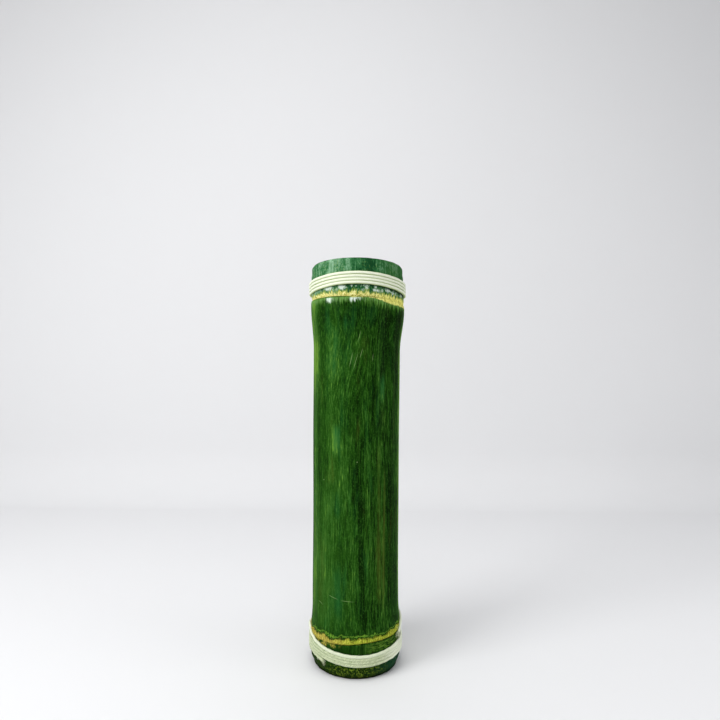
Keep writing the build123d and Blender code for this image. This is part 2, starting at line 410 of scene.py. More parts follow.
stainAndEdgeLight = {
    "strokes": 220,             # faint brush strokes all round the stem
    "toneSpread": 0.06,
    "warmSpread": 0.06,
    "underNode": (258 * mm, 10 * mm, -0.15),   # darker ring under the upper node: middle, width, tone
    "grainLeft": 1.2,           # strength of the fibre marks at the left and right
    "grainRight": 3.4,
    "grainLoss": 0.4,           # weaker at the left below these heights
    "lossHeights": (60 * mm, 150 * mm),
    # strokes that show at the front: degrees to the right, then half width, lowest and highest
    # in millimetres, then tone and warmth
    # some of these strokes are painted highlights and reflections along the edges
    "frontStrokes": [
        # pale left edge: painted highlight where the light from the left falls and reflects
        (-76, 3.4, 208, 252, 0.56, 0.4), (-69, 2.4, 202, 244, 0.46, 0.3), (-62, 3.0, 212, 248, 0.42, 0.3),
        (-84, 2.4, 190, 238, 0.26, 0.2), (-70, 6.0, 165, 206, 0.26, 0.4), (-52, 4.0, 150, 250, 0.16, 0.0),
        (-55, 5.0, 214, 250, 0.12, 0.2), (-68, 8.0, 40, 160, 0.20, 0.2), (-68, 2.0, 116, 129, 0.08, -0.9),
        (-68, 9.0, 250, 276, 0.54, 0.2),
        # cool bright spot, and the strokes round and below it
        (-26, 2.6, 161, 179, 0.54, -1.3), (-42, 3.0, 140, 172, -0.10, 0.0), (-33, 1.6, 146, 168, 0.06, -0.3),
        (-14, 3.0, 140, 172, 0.12, 0.2), (-25, 8.0, 40, 160, 0.11, 0.0), (-48, 6.0, 40, 120, 0.10, 0.1),
        # other cool places
        (0, 8.0, 227, 246, 0.10, -0.1), (-25, 7.0, 212, 246, 0.11, -0.2), (-33, 6.0, 218, 252, 0.05, -0.5),
        (-18, 7.0, 42, 80, 0.02, -0.6), (-28, 7.0, 116, 136, 0.0, -0.5), (-5, 24.0, 246, 268, 0.05, -0.45),
        (36, 2.4, 196, 217, 0.28, -1.2),
        # dark stripe that leans to the right on its way down, its crisp left edge and a paler line beside it
        (8, 3.2, 66, 152, -0.17, 0.0), (13, 3.0, 33, 82, -0.16, 0.0), (0.5, 0.9, 118, 152, -0.13, 0.0),
        (4.5, 0.9, 88, 126, -0.13, 0.0), (8.5, 0.9, 58, 96, -0.13, 0.0), (11.5, 0.9, 33, 66, -0.13, 0.0),
        (-5, 2.0, 104, 150, 0.06, 0.1), (0, 2.0, 66, 108, 0.06, 0.1), (5, 2.0, 36, 72, 0.06, 0.1),
        # darker right half with brownish lines
        (25, 14.0, 38, 200, -0.08, 0.1), (31, 2.5, 50, 165, 0.16, 0.9), (38, 1.0, 50, 104, 0.18, 1.0),
        (39.5, 1.0, 104, 146, 0.18, 1.0), (50, 3.5, 36, 150, -0.18, 0.0), (40, 5.0, 218, 262, -0.14, 0.0),
        (58, 3.0, 213, 262, -0.22, 0.0), (65, 4.6, 24, 262, -0.26, 0.0),
        # pale right edge: painted reflection along the right edge
        (76, 2.2, 26, 72, 0.38, 0.0), (79, 2.6, 58, 114, 0.46, 0.0), (77, 2.2, 102, 152, 0.42, 0.1),
        (80, 2.6, 140, 192, 0.46, 0.0), (77, 2.2, 180, 228, 0.38, 0.1), (79, 2.4, 216, 268, 0.42, 0.0),
        (98, 15.0, 40, 262, 0.14, 0.1), (85, 1.6, 34, 92, 0.20, 0.1), (88, 2.4, 84, 150, 0.22, 0.0),
        (85, 1.4, 150, 214, 0.18, 0.2), (87, 2.6, 206, 262, 0.22, 0.1), (102, 3.0, 60, 132, 0.16, 0.1),
        (108, 4.0, 150, 236, 0.18, -0.2),
        # neck
        (-48, 9.0, 283, 305, 0.16, 0.0), (-11, 2.3, 287, 305, 0.32, 0.0), (-20, 1.6, 287, 305, 0.12, 0.0),
        (-34, 2.5, 287, 305, 0.14, 0.0), (14, 6.0, 284, 305, -0.28, 0.0), (-26, 5.0, 284, 305, 0.08, 0.2),
        (45, 9.0, 284, 305, -0.06, 0.4),
    ],
    # where the fibre marks lean: degrees to the right, then half width, lowest and highest in millimetres
    "slant": [(-4, 13.0, 196, 246), (-46, 12.0, 190, 262), (128, 12.0, 90, 150), (-140, 10.0, 180, 230)],
}


def inMetres(angle, width, low, high, *rest):
    # a stroke of the lists above in radians and metres
    return (math.radians(angle), width * mm, low * mm, high * mm, *rest)


def brushed(theta, z, strokes):
    # sum of long soft strokes: Gauss curve across, eased ends along the stem
    # first the tone, then the warmth, each as one field
    tones = np.zeros(np.broadcast(theta, z).shape)
    warmths = np.zeros_like(tones)
    for angle, width, low, high, tone, warmth in strokes:
        end = min(16 * mm, 0.3 * (high - low))
        along = ease(low - end, low + end, z) * (1 - ease(high - end, high + end, z))
        mark = bell(wrapped(theta - angle) * stem["straight"], 0.0, width) * along
        tones = tones + tone * mark
        warmths = warmths + warmth * mark
    return tones, warmths


def stainAndEdgeLightFields(theta, z):
    # random strokes everywhere, the front's own strokes with the painted edge highlights, and the darker ring
    # below the upper node
    count = stainAndEdgeLight["strokes"]
    middles = rng.uniform(10 * mm, 290 * mm, count)
    lengths = rng.uniform(18 * mm, 80 * mm, count)
    everywhere = zip(rng.uniform(-np.pi, np.pi, count), rng.uniform(0.9 * mm, 4.0 * mm, count),
                     middles - lengths, middles + lengths, rng.normal(0, stainAndEdgeLight["toneSpread"], count),
                     rng.normal(0, stainAndEdgeLight["warmSpread"], count))
    atFront = [inMetres(*stroke) for stroke in stainAndEdgeLight["frontStrokes"]]
    leaning = [inMetres(*patch, 1.0, 0.0) for patch in stainAndEdgeLight["slant"]]
    middle, width, tone = stainAndEdgeLight["underNode"]
    tones, warmths = brushed(theta, z, [*everywhere, *atFront])
    toRight = ease(-0.5, 0.7, np.sin(theta))
    grain = stainAndEdgeLight["grainLeft"] + (stainAndEdgeLight["grainRight"] - stainAndEdgeLight["grainLeft"]) * toRight
    grain = grain - stainAndEdgeLight["grainLoss"] * (1 - toRight) * (1 - ease(*stainAndEdgeLight["lossHeights"], z))
    return {"tone": tones + tone * bell(z, middle, width), "warmth": warmths,
            "slant": brushed(theta, z, leaning)[0], "grain": grain}


# finishes of the stem

skinLook = {
    # stain from dark to pale, its cool and warm places, and scratches
    "dark": colour(7, 29, 2), "deep": colour(19, 52, 8), "leaf": colour(32, 73, 13),
    "fresh": colour(54, 99, 34), "straw": colour(98, 143, 45),
    "cool": colour(28, 92, 44), "warm": colour(78, 92, 30), "scratch": colour(150, 184, 116),
    # neck, painted shade under the cord, painted highlights (glints) on the varnish, and marks on the lip
    # below the upper scar
    "neckDark": colour(22, 70, 36), "neckMid": colour(55, 113, 66), "neckPale": colour(150, 190, 156),
    "cordShade": colour(6, 26, 12), "glint": colour(214, 228, 216), "lip": colour(94, 142, 58),
    # gold of the upper ring, yellower at the right, and its green fringe
    "goldDeep": colour(150, 142, 50), "gold": colour(226, 219, 124), "goldLight": colour(244, 238, 168),
    "sunGold": colour(246, 243, 124), "fringe": colour(124, 152, 66),
    # gold of the lower ring, tan at the left and yellow at the right, its spots and green fringe
    "tanGold": colour(174, 158, 72), "limeGold": colour(160, 176, 50), "limeLight": colour(212, 206, 84),
    "brown": colour(112, 100, 36), "greenFringe": colour(104, 150, 46),
    # band below the lower scar, and foot
    "olive": colour(104, 144, 50), "footDark": colour(8, 24, 6), "teal": colour(9, 58, 42),
    "worn": colour(124, 148, 44), "ground": colour(10, 16, 5),
    "upperGold": 3.9,           # millimetres that the gold reaches above each scar
    "lowerGold": 4.6,
    "thinSpill": 0.9,           # and below the upper scar in the middle, with more at the right
    "spill": 2.0,
    "goldLean": 0.008,          # the lower gold is thicker at the left: share lost per millimetre
    "goldEnd": 0.45,            # and thick again at its right end
    "lipMarks": 6.5,            # millimetres that the marks on the lip reach down
    "lipRight": 0.10,           # they are denser at the right
    "lipGlints": [(-22.5 * mm, -18 * mm), (-5.0 * mm, 3.0 * mm)],   # ends of each pale stretch on the lip
    # degrees to the right, then height, half width and half length in millimetres, then lean in degrees
    "scratches": [
        (-6.6, 227.3, 0.26, 6.5, 13), (-1.0, 226.0, 0.20, 7.5, 15), (5.9, 232.0, 0.24, 4.4, 16),
        (3.4, 244.0, 0.20, 5.0, 14), (20.6, 229.0, 0.20, 3.6, 8), (-28.2, 57.6, 0.22, 4.9, 104),
        (-9.2, 55.9, 0.20, 5.8, 92), (-49.5, 50.8, 0.22, 3.4, 108), (1.8, 154.7, 0.50, 0.6, 0),
        (-44.0, 140.8, 0.45, 0.7, 30), (150.0, 190.0, 0.30, 6.0, -14), (118.0, 82.0, 0.26, 4.5, 96),
        (-120.0, 120.0, 0.30, 5.0, 18), (-158.0, 240.0, 0.28, 4.0, -10),
    ],
    "scratchDepth": 12 * mm,    # reach of a scratch's ellipse into the stem
}


def scratchMask(place):
    # each scratch is a thin flat ellipse on the skin; the mask is the strongest one
    mask = 0.0
    for angle, height, width, length, lean in skinLook["scratches"]:
        a = math.radians(angle)
        spot = (stem["straight"] * math.sin(a), -stem["straight"] * math.cos(a), height * mm)
        sockets = {"Vector": place, "Location": spot, "Rotation": (0.0, math.radians(lean), a),
                   "Scale": (width * mm, skinLook["scratchDepth"], length * mm)}
        local = put("ShaderNodeMapping", sockets, vector_type="TEXTURE").outputs[0]
        mask = calc("MAXIMUM", mask, span(vectorLength(local), 0.45, 1.0, 1.0, 0.0))
    return mask


def skinFields():
    # what the layers of the finish share: places on the stem, stroke fields and noises
    place = objectPlace()
    at = SimpleNamespace(place=place, across=axisOf(place, 0))
    for name in ("upperRise", "lowerRise", "underCord", "tone", "warmth", "slant", "grain"):
        setattr(at, name, vertexValue(name))
    # fibres wander a little sideways, so the coordinates are bent by a slow noise first
    bend = put("ShaderNodeTexNoise", {"Vector": place, "Scale": 24.0, "Detail": 1.0}).outputs["Color"]
    bend = vectorCalc("MULTIPLY", bend, (1.6 * mm, 1.6 * mm, 0.0))
    at.bent = vectorCalc("ADD", place, bend)
    at.broad = noiseAt(at.bent, (130, 130, 10), 3)
    at.hair = noiseAt(at.bent, (2200, 2200, 190), 1, 0.5, (0.0, 7.0, 2.0))
    turned = put("ShaderNodeMapping", {"Vector": at.bent, "Rotation": (0.0, math.radians(-13), 0.0)})
    upright = noiseAt(at.bent, (1050, 1050, 62), 2, 0.5, (3.0, 1.0, 0.0))
    leaning = noiseAt(turned.outputs[0], (1000, 1000, 100), 2, 0.5, (1.0, 5.0, 0.0))
    slant = span(at.slant, 0.1, 0.8)
    at.fibre = put("ShaderNodeMix", {0: slant, 2: upright, 3: leaning}).outputs[0]
    at.pore = noiseAt(place, (1150, 1150, 700), 2, 0.6, (9.0, 1.0, 6.0))
    at.patch = noiseAt(place, (70, 70, 34), 4, 0.65, (5.0, 0.0, 1.0))
    at.run = noiseAt(place, (230, 230, 190), 4, 0.7, (6.0, 2.0, 4.0))
    at.speck = noiseAt(place, (860, 860, 700), 3, 0.7, (3.0, 8.0, 1.0))
    at.bristle = noiseAt(place, (1700, 1700, 100), 2, 0.5, (1.0, 2.0, 3.0))
    at.blotch = noiseAt(place, (300, 300, 260), 4, 0.6, (3.0, 5.0, 7.0))
    at.mottle = weighted(0.0, (at.fibre, 0.3), (at.pore, 0.7))
    return at


def stainAndEdgeLightColour(at):
    # depth of the stain, with painted highlights along the edges in its strokes: brush strokes, slow patches,
    # lengthwise streaks, fine pores and thin pale fibres
    look = skinLook
    depth = weighted(at.tone, (at.broad, 0.30), (at.patch, 0.34), (at.pore, 0.30))
    streak = weighted(-0.55, (at.hair, 0.50), (at.fibre, 0.62))
    paleFibre = times(span(at.fibre, 0.46, 0.66), span(at.hair, 0.50, 0.64))
    # dark fibres follow the grain strength, pale ones stay faint; the tone is made up for the loss
    paleGrain = calc("MINIMUM", at.grain, 1.4)
    streak = calc("MINIMUM", times(streak, at.grain), times(streak, paleGrain))
    excess = calc("SUBTRACT", at.grain, paleGrain)
    depth = calc("ADD", depth, -0.052)
    depth = weighted(depth, (excess, 0.034), (streak, 1.0), (paleFibre, 0.13))
    skin = ramp(depth, [(0.10, look["dark"]), (0.30, look["deep"]), (0.50, look["leaf"]),
                              (0.76, look["fresh"]), (1.0, look["straw"])])
    skin = cover(skin, span(at.pore, 0.54, 0.68, 0.0, 0.38), look["fresh"])
    # hue: cool and warm strokes, and slow changes along and round the stem
    drift = noiseAt(at.bent, (110, 110, 16), 3, 0.6, (4.0, 9.0, 2.0))
    hue = weighted(at.warmth, (calc("SUBTRACT", drift, 0.5), 3.0))
    skin = cover(skin, span(hue, -0.1, -1.4, 0.0, 0.7), look["cool"])
    skin = cover(skin, span(hue, 0.1, 1.3, 0.0, 0.5), look["warm"])
    return cover(skin, times(scratchMask(at.place), 0.5), look["scratch"])


def neckLayer(at, skin):
    # bluish green above the upper scar, with pale brush lines; paler than the body, partly as painted light
    # for the neck that faces up into the light
    look = skinLook
    depth = weighted(-0.97, (at.broad, 0.6), (at.fibre, 0.75), (at.pore, 0.55), (at.tone, 1.0),
                     (at.run, 0.9))
    green = ramp(depth, [(0.15, look["neckDark"]), (0.46, look["neckMid"]), (0.95, look["neckPale"])])
    green = cover(green, span(at.across, 12 * mm, 26 * mm, 0.0, 0.4), look["fresh"])
    specks = times(span(at.pore, 0.58, 0.68, 0.0, 0.6), span(at.patch, 0.46, 0.58))
    green = cover(green, specks, look["fringe"])
    return cover(skin, span(at.upperRise, -0.6, 0.8), green)


def footLayer(at, skin):
    # darker below the lower scar; near-black foot with worn spots, bluish at the right, darkest at the ground
    look = skinLook
    spot = noiseAt(at.place, (520, 520, 380), 4, 0.7, (2.0, 4.0, 0.0))
    shade = cover(skin, 0.4, look["dark"])
    shade = cover(shade, span(spot, 0.48, 0.66, 0.0, 0.5), look["leaf"])
    skin = cover(skin, span(at.lowerRise, -2.0, -0.5, 1.0, 0.0), shade)
    onFoot = span(at.lowerRise, -18.0, -14.0, 1.0, 0.0)
    skin = cover(skin, times(onFoot, 0.6), look["footDark"])
    bluish = times(span(at.across, 10 * mm, 30 * mm, 0.0, 0.8), onFoot)
    skin = cover(skin, bluish, look["teal"])
    worn = times(onFoot, span(at.speck, 0.48, 0.61, 0.0, 0.95),
                 span(spot, 0.40, 0.55, 0.25, 1.0), span(at.across, -26 * mm, -10 * mm, 0.2, 0.85),
                 span(at.across, 4 * mm, 28 * mm, 1.0, 0.2))
    skin = cover(skin, worn, look["worn"])
    nearGround = weighted(at.lowerRise, (spot, -3.0))
    return cover(skin, span(nearGround, -27.1, -23.1, 0.95, 0.0), look["ground"])


def bandLayer(at, skin):
    # olive brush lines round the stem between the lower scar and the cord, most at the right
    brushLine = noiseAt(at.place, (260, 260, 1100), 3, 0.65, (1.0, 6.0, 2.0))
    marked = times(window(at.lowerRise, -8.0, -6.0, -1.6, -0.8),
                   span(at.across, 5 * mm, 18 * mm), span(brushLine, 0.45, 0.65, 0.0, 0.75))
    return cover(skin, marked, skinLook["olive"])


def underCordGlintLayer(at, skin):
    # band under the upper cord: a pale wash at the left, deeper spots, and painted glints, painted highlights
    # where the varnish catches the light
    underCordBand = window(at.upperRise, 2.6, 5.0, 6.6, 9.2)
    layers = ((span(at.across, -30 * mm, -12 * mm, 0.45, 0.0), "neckPale"),
              (span(at.run, 0.48, 0.38, 0.0, 0.6), "neckDark"),
              (span(at.run, 0.49, 0.61), "glint"))
    for share, shade in layers:
        skin = cover(skin, times(share, underCordBand), skinLook[shade])
    return skin


def lipLayer(at, skin):
    # green marks that run down the lip below the upper scar, and ragged painted glints on it
    look = skinLook
    drip = noiseAt(at.place, (520, 520, 90), 4, 0.7, (8.0, 3.0, 1.0))
    denser = span(at.across, 3 * mm, 12 * mm, 0.0, look["lipRight"])
    climb = weighted(drip, (at.upperRise, 0.40 / look["lipMarks"]), (denser, 1.0))
    marks = times(span(climb, 0.14, 0.46), span(at.upperRise, -0.4, -0.7),
                  span(at.fibre, 0.34, 0.57, 0.4, 0.95))
    skin = cover(skin, marks, look["lip"])
    shown = 0.05
    for low, high in look["lipGlints"]:
        inside = window(at.across, low - 1 * mm, low + 1 * mm, high - 2 * mm, high + 2 * mm)
        shown = calc("ADD", inside, shown)
    brushy = weighted(0.0, (drip, 0.65), (at.bristle, 0.35))
    ragged = weighted(at.upperRise, (brushy, 20.0))
    glint = times(span(ragged, 5.8, 7.8), span(at.upperRise, -1.6, -1.0, 1.0, 0.0),
                  span(brushy, 0.40, 0.56, 0.25, 0.9), shown)
    return cover(skin, glint, look["glint"])


def upperGoldLayer(at, skin):
    # gold brushed up from the upper scar: solid at the scar, broken into ever fewer strokes above it
    look = skinLook
    gold = ramp(at.mottle, [(0.40, look["goldDeep"]), (0.49, look["gold"]), (0.60, look["goldLight"])])
    sunny = times(span(at.across, 4 * mm, 26 * mm, 0.0, 0.7),
                  span(at.mottle, 0.42, 0.52, 0.3, 1.0))
    gold = cover(gold, sunny, look["sunGold"])
    tuft = noiseAt(at.place, (700, 700, 210), 3)
    marks = weighted(0.0, (tuft, 0.55), (at.bristle, 0.45))
    for reach, shade in ((1.5, look["fringe"]), (1.0, gold)):
        climb = weighted(marks, (at.upperRise, -0.30 / (look["upperGold"] * reach)))
        painted = times(span(climb, 0.27, 0.35), span(at.upperRise, -0.3, 0.0), 0.92)
        skin = cover(skin, painted, shade)
    # it spills below the scar: a thin line from the middle on, wide at the right
    thin = span(at.across, -9 * mm, -3 * mm, 0.0, look["thinSpill"])
    wide = span(at.across, 8 * mm, 26 * mm, 0.0, look["spill"])
    below = weighted(at.upperRise, (thin, 1.0), (wide, 1.0), (at.blotch, 2.4), (at.bristle, 1.2))
    spilt = times(span(below, 1.3, 2.3), span(at.upperRise, -0.3, 0.0, 1.0, 0.0),
                  span(at.across, -9 * mm, -4 * mm), 0.9)
    return cover(skin, spilt, gold)


def lowerGoldLayer(at, skin):
    # gold of the lower ring: blotchy, thicker and tan at the left, with a pale green line above it
    look = skinLook
    gold = cover(look["limeGold"], span(at.across, -22 * mm, 4 * mm, 1.0, 0.0), look["tanGold"])
    gold = cover(gold, span(at.mottle, 0.52, 0.40, 0.0, 0.75), look["brown"])
    gold = cover(gold, span(at.mottle, 0.52, 0.64, 0.0, 0.85), look["limeLight"])
    atEnd = span(at.across, 24 * mm, 31 * mm, 0.0, look["goldEnd"])
    lean = weighted(1.0, (at.across, -1000 * look["goldLean"]), (atEnd, 1.0))
    share = calc("DIVIDE", calc("DIVIDE", at.lowerRise, look["lowerGold"]), lean)
    wavy = noiseAt(at.place, (150, 150, 150), 4, 0.55, (7.0, 2.0, 5.0))
    climb = weighted(0.163, (at.speck, 0.20), (wavy, 0.44), (share, -0.26))
    above = span(weighted(at.lowerRise, (at.blotch, 2.0)), 0.4, 0.8)
    skin = cover(skin, times(span(climb, 0.02, 0.16, 0.0, 0.4), above), look["dark"])
    line = times(window(climb, 0.14, 0.175, 0.19, 0.225), span(at.pore, 0.40, 0.56, 0.35, 0.95))
    skin = cover(skin, line, look["greenFringe"])
    skin = cover(skin, times(span(climb, 0.235, 0.335), above, 0.92), gold)
    # and smeared below that scar at the left
    smear = times(window(at.lowerRise, -4.0, -2.0, -0.8, -0.4),
                  span(at.across, -18 * mm, -8 * mm, 1.0, 0.0),
                  span(at.blotch, 0.38, 0.62, 0.0, 0.9), span(at.pore, 0.38, 0.56, 0.35, 1.0))
    return cover(skin, smear, gold)


def cordShadeAndScarLines(at, skin):
    # painted shade under the upper cord; scar lines stay dark, partly as painted shade in their grooves, less
    # so where the gold was smeared over them
    shaded = times(span(at.underCord, -0.2, 1.5, 0.85, 0.0), span(at.underCord, -2.5, -1.5))
    skin = cover(skin, shaded, skinLook["cordShade"])
    for rise, atLeft, atRight in ((at.upperRise, 1.0, 0.12), (at.lowerRise, 0.18, 1.0)):
        line = times(window(rise, -0.8, -0.5, -0.3, -0.05),
                     span(at.across, -22 * mm, -6 * mm, 0.85 * atLeft, 0.85),
                     span(at.across, 12 * mm, 24 * mm, 1.0, atRight))
        skin = cover(skin, line, skinLook["dark"])
    return skin


def stainedSkin():
    # the stain, then each layer over it; painted light among them: highlights at the edges, glints, and shade
    # under the upper cord
    material, shader = newMaterial("greenStainedBamboo")
    at = skinFields()
    skin = stainAndEdgeLightColour(at)
    for layer in (neckLayer, footLayer, bandLayer, underCordGlintLayer, lipLayer, upperGoldLayer, lowerGoldLayer,
                  cordShadeAndScarLines):
        skin = layer(at, skin)
    relief = weighted(at.fibre, (at.hair, 0.35))
    fill(shader, {"Base Color": skin, "Roughness": span(at.fibre, 0.25, 0.75, 0.55, 0.7),
                        "Specular IOR Level": 0.01, "Coat Weight": 0.02, "Coat Roughness": 0.16,
                        "Coat IOR": 1.4, "Normal": bumpFrom(relief, 0.3, 0.25 * mm)})
    return material


cutLook = {
    "pale": colour(205, 180, 124),
    "brown": colour(122, 86, 44),
    "stainEdge": colour(34, 84, 42),
    "stainFrom": 31.2,          # millimetres from the axis where the green stain begins to soak in
    "stainTo": 33.2,
}


def cutBamboo():
    # end grain: dark fibre bundles, denser towards the skin, with stain soaked in at the edge
    look = cutLook
    material, shader = newMaterial("cutBambooEnd")
    place = objectPlace()
    fromAxis = vectorLength(vectorCalc("MULTIPLY", place, (1000.0, 1000.0, 0.0)))   # millimetres
    placed = put("ShaderNodeMapping", {"Vector": place, "Scale": (1150.0, 1150.0, 60.0)})
    cells = put("ShaderNodeTexVoronoi", {"Vector": placed.outputs[0], "Scale": 1.0})
    size = span(fromAxis, 27.0, 34.0, 0.16, 0.42)
    bundle = span(calc("SUBTRACT", size, cells.outputs["Distance"]), -0.06, 0.06)
    cloud = noiseAt(place, (160, 160, 160), 4)
    grain = cover(look["pale"], span(cloud, 0.35, 0.7, 0.0, 0.5), look["brown"])
    grain = cover(grain, times(bundle, 0.7), look["brown"])
    soak = weighted(calc("ADD", fromAxis, -1.5), (cloud, 3.0))
    grain = cover(grain, span(soak, look["stainFrom"], look["stainTo"]), look["stainEdge"])
    fill(shader, {"Base Color": grain, "Roughness": 0.62,
                        "Normal": bumpFrom(bundle, 0.4, 0.2 * mm)})
    return material


innerLook = {
    "pale": colour(206, 184, 138),
    "tan": colour(168, 134, 84),
    "shade": colour(104, 78, 46),
}


def rawInside():
    # unfinished bore: pale pith with lengthwise fibres and darker blotches
    look = innerLook
    material, shader = newMaterial("rawBambooInside")
    place = objectPlace()
    fibre = noiseAt(place, (1100, 1100, 26), 4, 0.6)
    blotch = noiseAt(place, (90, 90, 40), 4, 0.6, (4.0, 1.0, 0.0))
    mixed = weighted(0.0, (blotch, 0.6), (fibre, 0.55))
    pith = ramp(mixed, [(0.3, look["shade"]), (0.55, look["tan"]), (0.75, look["pale"])])
    fill(shader, {"Base Color": pith, "Roughness": 0.75, "Normal": bumpFrom(fibre, 0.5, 0.3 * mm)})
    return material


def makeStem():
    s = stem
    rows, finishes = stemProfile()
    r, z = rows[:, :1], rows[:, 1:]
    theta = np.linspace(-np.pi, np.pi, s["around"], endpoint=False)[None, :]
    onSkin = (finishes == skinRow)[:, None]
    radius = r + unevenness(theta, z) * np.where(onSkin, 1.0, 0.7) * ease(3 * mm, 20 * mm, r)
    # the opened cross wall was broken out by hand, so its edge wanders
    edge = s["straight"] - s["boreWall"] - s["ledgeDepth"]
    torn = bell(r, edge, 1.2 * mm) * (finishes == innerRow)[:, None]
    torn = torn * bell(z, sum(s["ledge"]) / 2, 5 * mm)
    wander = 0.7 * np.sin(5 * theta + 0.5) + 0.5 * np.sin(11 * theta + 2.0) + 0.35 * np.sin(23 * theta)
    radius = radius + torn * wander * mm
    height = z + np.where(onSkin, ringLift(theta, z), 0.0)
    points = np.stack([radius * np.sin(theta) + sway(height), -radius * np.cos(theta), height], -1)
    along = np.concatenate([[0.0], np.cumsum(np.hypot(*np.diff(rows, axis=0).T))])
    under, over = ([(sway(level), 0.0, level)] for level in s["floor"])
    obj = gridObject("bambooStem", points[None], under, over, along,
                     [stainedSkin(), cutBamboo(), rawInside()], finishes)
    # stroke fields, and millimetres above each scar and below the upper cord
    fields = {**stainAndEdgeLightFields(theta, z), "upperRise": (z - s["upperScar"]) / mm,
              "underCord": (cordUnderside(upperCord, theta) - z) / mm, "lowerRise": (z - s["lowerScar"]) / mm}
    for name, field in fields.items():
        addAttribute(obj, name, np.broadcast_to(field, radius.shape))
    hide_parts("bamboo_stem")
    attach(obj, "root")
    print("stem:", len(obj.data.polygons), "faces")


# wound cords: one tube each, carried round the stem on a bowed left-hand helix

anyCord = {
    "plies": 3, "sides": 20, "perTurn": 300,
    "tailDrop": 0.0, "tailSpan": 0.3,     # the tail hangs by this much, over this many radians
    "tailTaper": 1.0,                     # share of the radius at the tail's end
    "looseTurns": 0.5, "climb": 0.0,      # the last stretch climbs out of the band
    "sideLift": 0.0,                      # it first bulges upwards at the left
    "droopTurns": 0.15, "droop": 0.0,     # and sinks again at its tip
}
upperCord = {
    **anyCord, "name": "upperCordWrap", "node": "upper_cord_wrap",
    "startAngle": 180.0, "turns": 4.0, "radius": 1.12 * mm, "pitch": 2.23 * mm,
    "frontMiddle": 285.0 * mm,            # middle of the band at the front
    "bow": 1.3 * mm, "spread": 0.08 * mm,  # rise at front and back; wider turns at the sides
    "tilt": 0.5 * mm,                     # the right side of the band stands this much higher
    "plyDepth": 0.035, "lay": 7 * mm, "flat": 0.94, "tall": 1.05, "wander": 0.05 * mm,
}
lowerCord = {
    **anyCord, "name": "lowerCordWrap", "node": "lower_cord_wrap",
    "startAngle": -44.0, "turns": 4.69, "radius": 1.04 * mm, "pitch": 2.04 * mm,
    "frontMiddle": 14.4 * mm, "bow": -2.0 * mm, "spread": 0.2 * mm, "tilt": -0.6 * mm,
    "tailDrop": 0.6 * mm, "tailTaper": 1.25, "looseTurns": 0.69, "climb": 14.0 * mm,
    "sideLift": 2.3 * mm, "droop": 9.0 * mm,
    "plyDepth": 0.06, "lay": 6 * mm, "flat": 0.9, "tall": 1.12, "wander": 0.12 * mm,
}


def cordUnderside(cord, theta):
    # height of the lower edge of a band of four turns
    lowest = 1.5                          # turns from the middle of the band to its lowest one
    edge = cord["frontMiddle"] - lowest * cord["pitch"] - cord["radius"] + cord["tilt"] * np.sin(theta)
    return edge - (cord["bow"] + lowest * cord["spread"]) * (1 - np.cos(2 * theta))


def cordPath(cord):
    # angle falls as the cord rises; height is pitch per turn, a bow of two waves a turn, a tilt,
    # a spread that opens the turns at the sides, a hanging tail and a slow hand-made wander;
    # the last stretch climbs out of the band and sinks again at its tip
    straightEnd = 2.0 * mm / stem["straight"]
    total = cord["turns"] * 2 * np.pi
    turned = np.linspace(-straightEnd, total + straightEnd, int(cord["perTurn"] * cord["turns"]))
    theta = math.radians(cord["startAngle"]) - turned
    share = turned / (2 * np.pi) - cord["turns"] / 2
    crossings = np.arange(cord["startAngle"] % 360 / 360, cord["turns"], 1.0)   # turns at the front
    middleTurn = crossings.mean() - cord["turns"] / 2
    tail = cord["tailDrop"] * np.clip(1 - turned / cord["tailSpan"], 0, None) ** 2
    hand = cord["wander"] * (np.sin(2.3 * turned + 0.6) + 0.7 * np.sin(5.1 * turned + 2.2))
    z = cord["frontMiddle"] + cord["pitch"] * (share - middleTurn)
    z = z + cord["bow"] * (np.cos(2 * theta) - 1) + cord["tilt"] * np.sin(theta) - tail + hand
    z = z + cord["spread"] * (share - middleTurn) * (1 - np.cos(2 * theta))
    left = cord["turns"] - turned / (2 * np.pi)
    z = z + cord["climb"] * ease(0, 1, 1 - left / cord["looseTurns"])
    z = z + cord["sideLift"] * bell(left, 0.80 * cord["looseTurns"], 0.07)
    z = z - cord["droop"] * np.clip(1 - left / cord["droopTurns"], 0, None) ** 2
    seat = outerRadius(z) + unevenness(theta, z)
    return turned, theta, seat + cord["radius"] * cord["flat"] - 0.08 * mm, z


def cordSection(cord, turned, phi):
    # round section with shallow plies that twist along the cord, thinning to a soft point at both ends
    length = turned * stem["straight"]
    twist = 2 * np.pi * length / cord["lay"]
    plies = 1 + cord["plyDepth"] * np.cos(cord["plies"] * (phi - twist[:, None] / cord["plies"]))
    fromStart = length - length[0]
    fromEnd = length[-1] - length
    tip = cord["radius"]
    roundOff = np.sqrt(np.clip(1 - (1 - np.clip(np.minimum(fromStart, fromEnd) / tip, 0, 1)) ** 2, 0.02, 1))
    thin = cord["tailTaper"] + (1 - cord["tailTaper"]) * ease(0, 9 * mm, fromStart)
    return cord["radius"] * plies * (roundOff * thin)[:, None]


def cordFrame(cord):
    # middle line of the cord, and its directions along, out from the stem and up
    turned, theta, seat, z = cordPath(cord)
    outward = np.stack([np.sin(theta), -np.cos(theta), np.zeros_like(theta)], -1)
    centre = outward * seat[:, None]
    centre[:, 0] += sway(z)
    centre[:, 2] = z
    along = unit(np.gradient(centre, axis=0))
    return SimpleNamespace(turned=turned, centre=centre, along=along, outward=outward,
                           upward=np.cross(along, outward))


